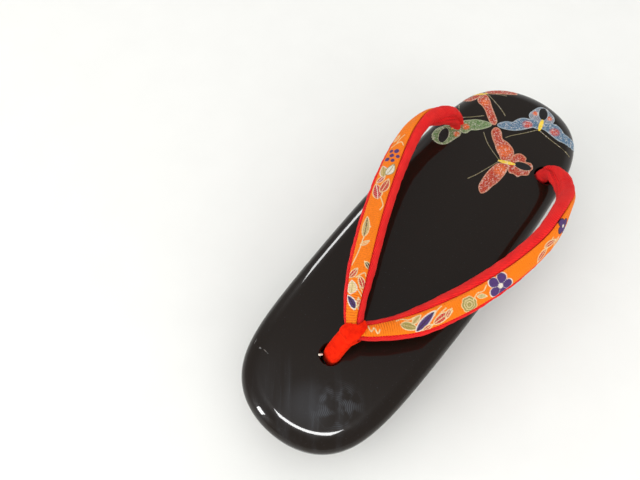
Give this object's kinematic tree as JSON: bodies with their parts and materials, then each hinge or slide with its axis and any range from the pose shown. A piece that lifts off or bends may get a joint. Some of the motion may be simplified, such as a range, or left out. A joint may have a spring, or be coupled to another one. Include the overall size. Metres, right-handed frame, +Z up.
{
  "type": "geta sandal",
  "caption": "Left wooden geta with a lacquered oval base, a padded V-shaped strap with a patterned cover, and a velvet toe loop.",
  "frame": {"origin": "on the floor under the middle of the heel, midway between the two rear strap holes", "axes": "+Y from toe to heel, +X to the outer side of the left foot, +Z up"},
  "size_m": [0.0952, 0.235, 0.067],
  "materials": {
    "black_lacquer": "high gloss lacquer",
    "red_lining": "soft ribbed cloth",
    "orange_crepe": "printed crepe",
    "scarlet_velvet": "velvet",
    "hemp_cord": "twisted hemp"
  },
  "bodies": {
    "root": {"base": "black_lacquer", "strap_lining": "red_lining", "strap_cover_lateral": "orange_crepe", "strap_cover_medial": "orange_crepe", "toe_loop": "scarlet_velvet", "toe_knot": "hemp_cord", "lateral_knot": "hemp_cord", "medial_knot": "hemp_cord"}
  },
  "joints": []
}
